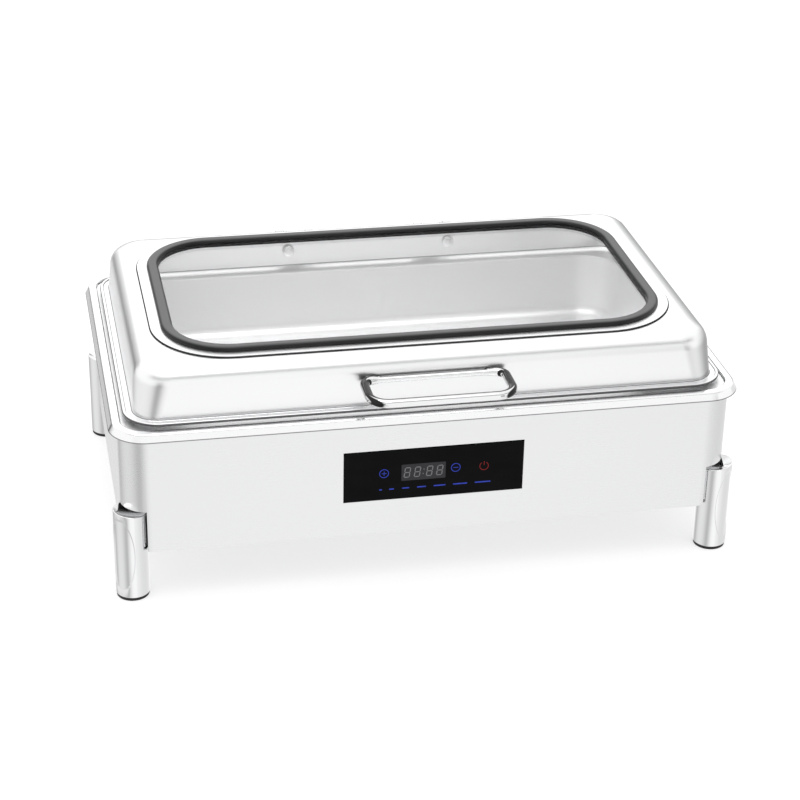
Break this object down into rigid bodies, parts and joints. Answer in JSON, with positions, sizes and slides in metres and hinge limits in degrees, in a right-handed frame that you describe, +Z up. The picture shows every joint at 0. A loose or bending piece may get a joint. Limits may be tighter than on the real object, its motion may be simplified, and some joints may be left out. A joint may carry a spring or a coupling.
{
  "type": "electric buffet server",
  "caption": "Rectangular electric buffet server: heated water bath with a lift-out food pan, hinged lid with glass window and loop handle, front touch panel and short round legs.",
  "frame": {"origin": "centre of the footprint on the surface that the feet stand on", "axes": "+X to the right as seen from the front, +Y toward the hinges, +Z up; the handle and the touch panel face -Y"},
  "size_m": [0.58, 0.4072, 0.225],
  "materials": {
    "satin_steel": "satin stainless steel",
    "pan_steel": "bright satin stainless steel",
    "zinc_steel": "zinc-plated steel",
    "chrome": "mirror polished",
    "aluminium": "rolled",
    "black_rubber": "soft matte black",
    "black_glass": "glossy black touch glass",
    "black_plastic": "moulded black",
    "board_green": "circuit board",
    "wool": "ceramic wool",
    "clear_glass": "clear tempered glass"
  },
  "bodies": {
    "base": {"base_rim": "satin_steel", "bottom_plate": "zinc_steel", "clamp_nut": "zinc_steel", "control_panel_glass": "black_glass", "display_module": "black_plastic", "element_clamp": "zinc_steel", "foot_pad_front_left": "black_rubber", "foot_pad_front_right": "black_rubber", "foot_pad_rear_left": "black_rubber", "foot_pad_rear_right": "black_rubber", "heat_plate": "aluminium", "heating_element": "zinc_steel", "hinge_base_left": "zinc_steel", "hinge_base_right": "zinc_steel", "hinge_damper_left": "zinc_steel", "hinge_damper_right": "zinc_steel", "hinge_pin_left": "zinc_steel", "hinge_pin_right": "zinc_steel", "hinge_screw_left_1": "zinc_steel", "hinge_screw_left_2": "zinc_steel", "hinge_screw_right_1": "zinc_steel", "hinge_screw_right_2": "zinc_steel", "housing_skirt": "satin_steel", "insulation_pad": "wool", "leg_bracket_front_left": "zinc_steel", "leg_bracket_front_right": "zinc_steel", "leg_bracket_rear_left": "zinc_steel", "leg_bracket_rear_right": "zinc_steel", "leg_front_left": "chrome", "leg_front_right": "chrome", "leg_rear_left": "chrome", "leg_rear_right": "chrome", "leg_screw_front_left": "zinc_steel", "leg_screw_front_right": "zinc_steel", "leg_screw_rear_left": "zinc_steel", "leg_screw_rear_right": "zinc_steel", "panel_carrier": "black_plastic", "power_board": "board_green", "power_inlet": "black_plastic", "temperature_sensor": "zinc_steel", "thermal_cutout": "black_plastic", "touch_board": "board_green", "water_pan": "pan_steel"},
    "lid": {"lid_shell": "satin_steel", "window_seal": "black_rubber", "window_glass": "clear_glass", "lid_handle": "chrome", "handle_screw_left": "zinc_steel", "handle_screw_right": "zinc_steel", "hinge_leaf_left": "satin_steel", "hinge_leaf_right": "satin_steel", "lid_rivet_left": "satin_steel", "lid_rivet_right": "satin_steel", "lid_bumper_left_1": "black_rubber", "lid_bumper_left_2": "black_rubber", "lid_bumper_right_1": "black_rubber", "lid_bumper_right_2": "black_rubber"},
    "food_pan": {"food_pan": "pan_steel"}
  },
  "joints": [
    {"name": "lid_hinge", "type": "hinge", "parent": "base", "child": "lid", "pos_m": [0, 0.19681, 0.196], "axis": [-1, 0, 0], "range_deg": [0, 90]},
    {"name": "pan_lift", "type": "slide", "parent": "base", "child": "food_pan", "axis": [0, 0, 1], "range_m": [0, 0.004]}
  ]
}
